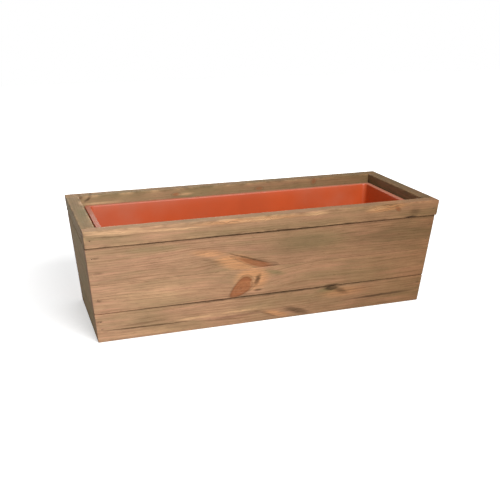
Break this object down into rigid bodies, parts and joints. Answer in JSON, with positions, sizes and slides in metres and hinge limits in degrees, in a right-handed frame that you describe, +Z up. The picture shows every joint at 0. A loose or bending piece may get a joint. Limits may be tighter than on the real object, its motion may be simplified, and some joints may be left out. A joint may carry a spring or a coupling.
{
  "type": "window box planter",
  "caption": "Flared window box of stained softwood boards with a lift-out terracotta-coloured plastic liner for plants.",
  "frame": {"origin": "on the ground, below the middle of the box", "axes": "+X along the length to the right, +Y to the back, +Z up"},
  "size_m": [0.6398, 0.2598, 0.202],
  "materials": {
    "stained_softwood": "brown stain, matt",
    "plain_softwood": "sawn, thinly stained",
    "steel_fastener": "dull, darkened",
    "terracotta_plastic": "satin moulded polypropylene"
  },
  "bodies": {
    "box": {"front_bottom_board": "stained_softwood", "back_bottom_board": "stained_softwood", "left_bottom_board": "stained_softwood", "right_bottom_board": "stained_softwood", "front_middle_board": "stained_softwood", "back_middle_board": "stained_softwood", "left_middle_board": "stained_softwood", "right_middle_board": "stained_softwood", "front_upper_board": "stained_softwood", "back_upper_board": "stained_softwood", "left_upper_board": "stained_softwood", "right_upper_board": "stained_softwood", "front_rim_rail": "stained_softwood", "back_rim_rail": "stained_softwood", "left_rim_rail": "stained_softwood", "right_rim_rail": "stained_softwood", "front_left_corner_batten": "plain_softwood", "back_left_corner_batten": "plain_softwood", "front_right_corner_batten": "plain_softwood", "back_right_corner_batten": "plain_softwood", "front_floor_cleat": "plain_softwood", "back_floor_cleat": "plain_softwood", "floor_slat_1": "plain_softwood", "floor_slat_2": "plain_softwood", "floor_slat_3": "plain_softwood", "floor_slat_4": "plain_softwood", "floor_slat_5": "plain_softwood", "front_nails": "steel_fastener", "back_nails": "steel_fastener", "floor_nails": "steel_fastener", "rim_brads": "steel_fastener", "batten_screws": "steel_fastener", "cleat_screws": "steel_fastener"},
    "liner": {"liner": "terracotta_plastic"}
  },
  "joints": [
    {"name": "liner_lift", "type": "slide", "parent": "box", "child": "liner", "axis": [0, 0, 1], "range_m": [0, 0.18]}
  ]
}
